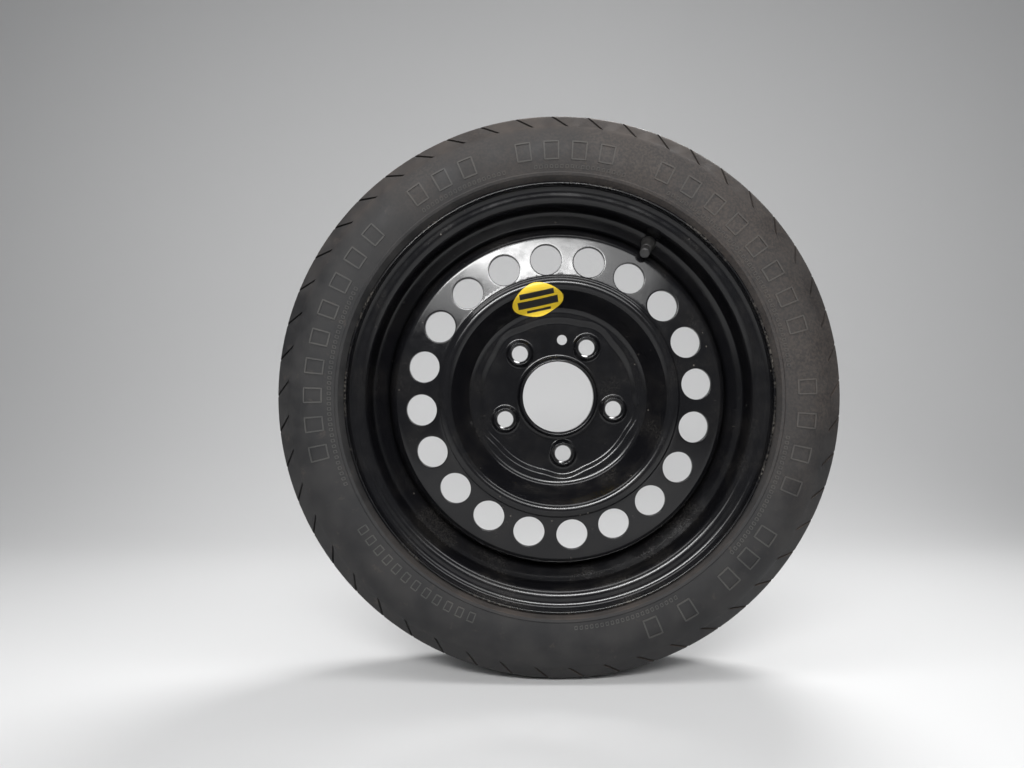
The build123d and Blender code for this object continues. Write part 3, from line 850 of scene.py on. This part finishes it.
# %% Join the disc
def collar_line():
    """From the pad's back, up the bore, over the collar's edge and down to the pad's front."""
    inner = span(back, 0, PAD_INNER, back[0], (PAD_INNER, PAD_OUT - DISC_SHEET))
    outer = span(front, 0, PAD_INNER, front[0], (PAD_INNER, PAD_OUT))
    return np.vstack([inner[::-1], round_end(inner[0], outer[0]), outer])


def pressed_disc():
    disc = Surface()
    disc.turn(collar_line())
    for line, inner, drop, drop_vent in (
            (front, VENT_INNER, 0, 0), (back, VENT_INNER_BACK, DISC_SHEET, back_drop)):
        ends = (PAD_OUTER, FLOOR_OUT - drop), (inner, vent_out(inner) - drop_vent)
        disc.turn(span(line, PAD_OUTER, inner, *ends))
    face, rear = front[front[:, 0] > VENT_OUTER + NEAR], back[back[:, 0] > VENT_OUTER - NEAR][::-1]
    edge = vent_out(VENT_OUTER)
    disc.turn(np.vstack([
        [(VENT_OUTER, edge)], face, round_end(face[-1], rear[0]), rear, [(VENT_OUTER, edge - back_drop)]]))
    flat, faces = pad_zone()
    for height in (pad_front, pad_back):
        out = height(flat)
        outer_ring = np.linalg.norm(flat, axis=1) > PAD_OUTER - NEAR
        out[outer_ring] = FLOOR_OUT - (0 if height is pad_front else DISC_SHEET)
        disc.add(lifted(flat, out), faces)
    for centre in bolts:
        loop = ring_points(centre, BOLT_HOLE, HOLE_POINTS)
        disc.rings([lifted(loop, pad_front(loop)), lifted(loop, pad_back(loop))])
    wide = ring_points(locating, LOCATING_HOLE + LOCATING_CHAMFER, LOCATING_POINTS)
    narrow = ring_points(locating, LOCATING_HOLE, LOCATING_POINTS)
    disc.rings([lifted(wide, pad_front(wide)), lifted(narrow, pad_front(wide) - LOCATING_CHAMFER),
                lifted(narrow, pad_back(wide) + LOCATING_CHAMFER), lifted(wide, pad_back(wide))])
    for on_back in (False, True):
        flat, faces = vent_zone(on_back)
        disc.add(lifted(flat, vent_height(flat, on_back)), faces)
    for angle in vent_angles:
        disc.rings(vent_wall(angle))
    return disc.build("pressed_disc", weld=0.01)


disc = pressed_disc()
dress(disc, "black_paint")
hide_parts("wheel_disc")

# %% [markdown]
# ## Small pieces
# The weld seams, the label, the valve's rubber and cap and most of its core keep the shapes of the solid.
# They only get their finishes. The foil label is yellow, printed with plain dark bars.

# %% Label foil
LABEL_ANGLE = -12.3
LABEL_YELLOW, LABEL_BLACK = (0.8, 0.56, 0.03), (0.02, 0.02, 0.02)
LABEL_BARS = [(103, 17, 2.2), (95.5, 20, 3.0), (89, 12, 1.0)]     # middle, half width, half height
PRINT_EDGE = 0.3


def label_foil():
    foil = Finish("yellow label foil", LABEL_YELLOW, 0.38)
    turned = foil.add("VectorRotate", {"Vector": foil.place, "Angle": radians(-LABEL_ANGLE)},
                      rotation_type="Y_AXIS").outputs[0]
    x, _, z = foil.add("SeparateXYZ", {0: turned}).outputs

    def within(value, half):
        return foil.ramp(foil.maths("ABSOLUTE", value), half * MM, (half + PRINT_EDGE) * MM, 1.0, 0.0)

    bars = 0.0
    for middle, half_wide, half_tall in LABEL_BARS:
        tall = within(foil.maths("SUBTRACT", z, middle * MM), half_tall)
        bars = foil.maths("MAXIMUM", bars, foil.maths("MULTIPLY", within(x, half_wide), tall))
    foil.set(foil.shader, {"Base Color": foil.blend(bars, LABEL_YELLOW, LABEL_BLACK)})
    return foil.material


finishes["label_foil"] = label_foil()

# %% [markdown]
# ### Valve stem
# With the cap off, the brass stem shows a fine thread. The stem's section is turned about the valve's axis.
# Each point of the threaded length is drawn in by a depth that follows the turn, so the groove climbs.

# %% Threaded stem
STEM_R, STEM_CHAMFER, AIR_WAY, CHAMBER = 3.85, 0.6, 1.6, 2.6
STEM_NECK, STEM_POINTS = STEM_R - 1, 64
RUBBER_END, CHAMBER_FOOT = 21.0, 10.0
THREAD_PITCH, THREAD_DEPTH, THREAD_CUTS = 0.79, 0.4, 8
THREAD_START, THREAD_END = RUBBER_END + 0.1, STEM_END - STEM_CHAMFER


def stem_outline():
    """Corners as (radius, height), with the threaded length cut into fine steps."""
    thread = np.arange(THREAD_START, THREAD_END, THREAD_PITCH / THREAD_CUTS)
    foot = [(AIR_WAY, STEM_FOOT), (STEM_NECK, STEM_FOOT)]
    foot += [(STEM_NECK, RUBBER_END - 6), (STEM_R, RUBBER_END - 4)]
    top = [(STEM_R, THREAD_END), (STEM_R - STEM_CHAMFER, STEM_END), (CHAMBER, STEM_END)]
    inside = [(CHAMBER, CHAMBER_FOOT), (AIR_WAY, CHAMBER_FOOT - 2)]
    return foot + [(STEM_R, height) for height in thread] + top + inside


def threaded_stem():
    turn = np.arange(STEM_POINTS) * 2 * pi / STEM_POINTS
    stem = Surface()
    rings = []
    for radius, height in stem_outline():
        fade = np.clip(min(height - THREAD_START, THREAD_END - height) / THREAD_PITCH, 0, 1)
        wave = np.abs((height / THREAD_PITCH - turn / (2 * pi)) % 1 * 2 - 1)
        rings.append(around_valve(radius - THREAD_DEPTH * fade * wave, height, turn))
    stem.rings(rings, closed=True)
    return stem.build("threaded_stem", sharp=50.0)


stem = threaded_stem()
dress(stem, "brass")
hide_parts("valve_stem")

# %% Dress the small nodes
REPLACED = ("tyre", "rim", "wheel_disc", "valve_stem", "valve_core_spring")
slot_of = {part["node"]: part["material_slot"] for part in frame["record"]["subparts"]}
for name, node in nodes.items():
    if name not in REPLACED:
        node.data.materials.clear()
        node.data.materials.append(finishes[slot_of[name]])
print("nodes with a new finish:", len(nodes) - len(REPLACED))

# %% [markdown]
# ## Spring in the valve core
# Pressing the core's pin lets air out, and a tiny coil spring pushes it back. The spring keeps the solid's shape:
# a welded copy of its mesh, of its own, gets drawn steel wire and rides on the wheel.


def core_spring():
    spring = settle(new_piece("core_spring", nodes["valve_core_spring"].data.copy()), outward=False)
    dress(spring, "spring_steel")
    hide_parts("valve_core_spring")
    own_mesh(spring)


core_spring()

# %% [markdown]
# ## Studio
# The studio is a pale sweep of floor and wall under soft lamps, at a level where a colour looks as written.
# A broad lamp and a strip, above and in front, draw the bright bands on the upper half of the glossy disc.
# A long strip overhead lights the tyre's shoulder and the bends of the disc, and a weak lamp shows the back.

# %% Floor and backdrop
SWEEP_GREY = (0.66, 0.66, 0.66)


def sweep():
    reach, near, depth, height, bend = 3.0, -2.5, 1.2, 2.6, 0.6
    floor = -TYRE_R * MM
    steps = [(near, floor), (depth - bend, floor)]
    curve = [radians(a) for a in range(10, 100, 10)]
    steps += [(depth - bend + bend * sin(a), floor + bend - bend * cos(a)) for a in curve]
    steps += [(depth, floor + height)]
    points = [(side * reach, y, z) for y, z in steps for side in (-1, 1)]
    faces = [(2 * k, 2 * k + 1, 2 * k + 3, 2 * k + 2) for k in range(len(steps) - 1)]
    mesh = bpy.data.meshes.new("studio_sweep")
    mesh.from_pydata(points, [], faces)
    mesh.polygons.foreach_set("use_smooth", [True] * len(faces))
    piece = new_piece("studio_sweep", mesh)
    piece.data.materials.append(Finish("pale sweep", SWEEP_GREY, 0.9).material)


sweep()

# %% Lights
def soft_box(name, place, target, width, height, power, spread=180):
    light = bpy.data.lights.new(name, "AREA")
    light.shape = "RECTANGLE"
    light.size = width
    light.size_y = height
    light.energy = power
    light.spread = radians(spread)
    lamp = bpy.data.objects.new(name, light)
    lamp.location = place
    lamp.rotation_euler = (Vector(target) - Vector(place)).to_track_quat("-Z", "Y").to_euler()
    bpy.context.scene.collection.objects.link(lamp)
    print(name, "in watts:", power)


soft_box("high light", (-0.1, -1.6, 0.78), (0, 0, 0), 1.7, 0.6, 5.2, spread=100)
soft_box("bright strip", (-0.25, -1.55, 0.82), (0, 0, 0), 1.1, 0.16, 5.0, spread=100)
soft_box("overhead strip", (0.0, -0.38, 1.1), (0, 0, 0.15), 2.2, 0.3, 9.5)
soft_box("back light", (0.45, 0.95, 1.35), (0, 0, 0), 0.9, 0.5, 7, spread=90)

# %% Soft room
ROOM_COLOUR, ROOM_STRENGTH = (0.9, 0.92, 0.95, 1), 0.2
world = bpy.data.worlds.new("soft room")
world.use_nodes = True
background = world.node_tree.nodes["Background"]
background.inputs["Color"].default_value = ROOM_COLOUR
background.inputs["Strength"].default_value = ROOM_STRENGTH
bpy.context.scene.world = world
bpy.context.scene.view_settings.view_transform = "Standard"

# %% [markdown]
# ## Camera
# The picture is taken nearly square on, a little left of the wheel's centre, from less than a metre away.

# %% Camera
IMAGE_WIDTH, FOCAL_PIXELS, SENSOR = 1024, 778.0, 36.0
CAMERA_PLACE = (-0.046, -0.8075, 0.0128)
camera = bpy.data.objects.new("camera", bpy.data.cameras.new("camera"))
camera.data.sensor_width = SENSOR
camera.data.lens = FOCAL_PIXELS / IMAGE_WIDTH * SENSOR
camera.location = CAMERA_PLACE
camera.rotation_euler = (radians(90), 0, 0)
bpy.context.scene.collection.objects.link(camera)
bpy.context.scene.camera = camera
print("lens in mm:", round(camera.data.lens, 2))
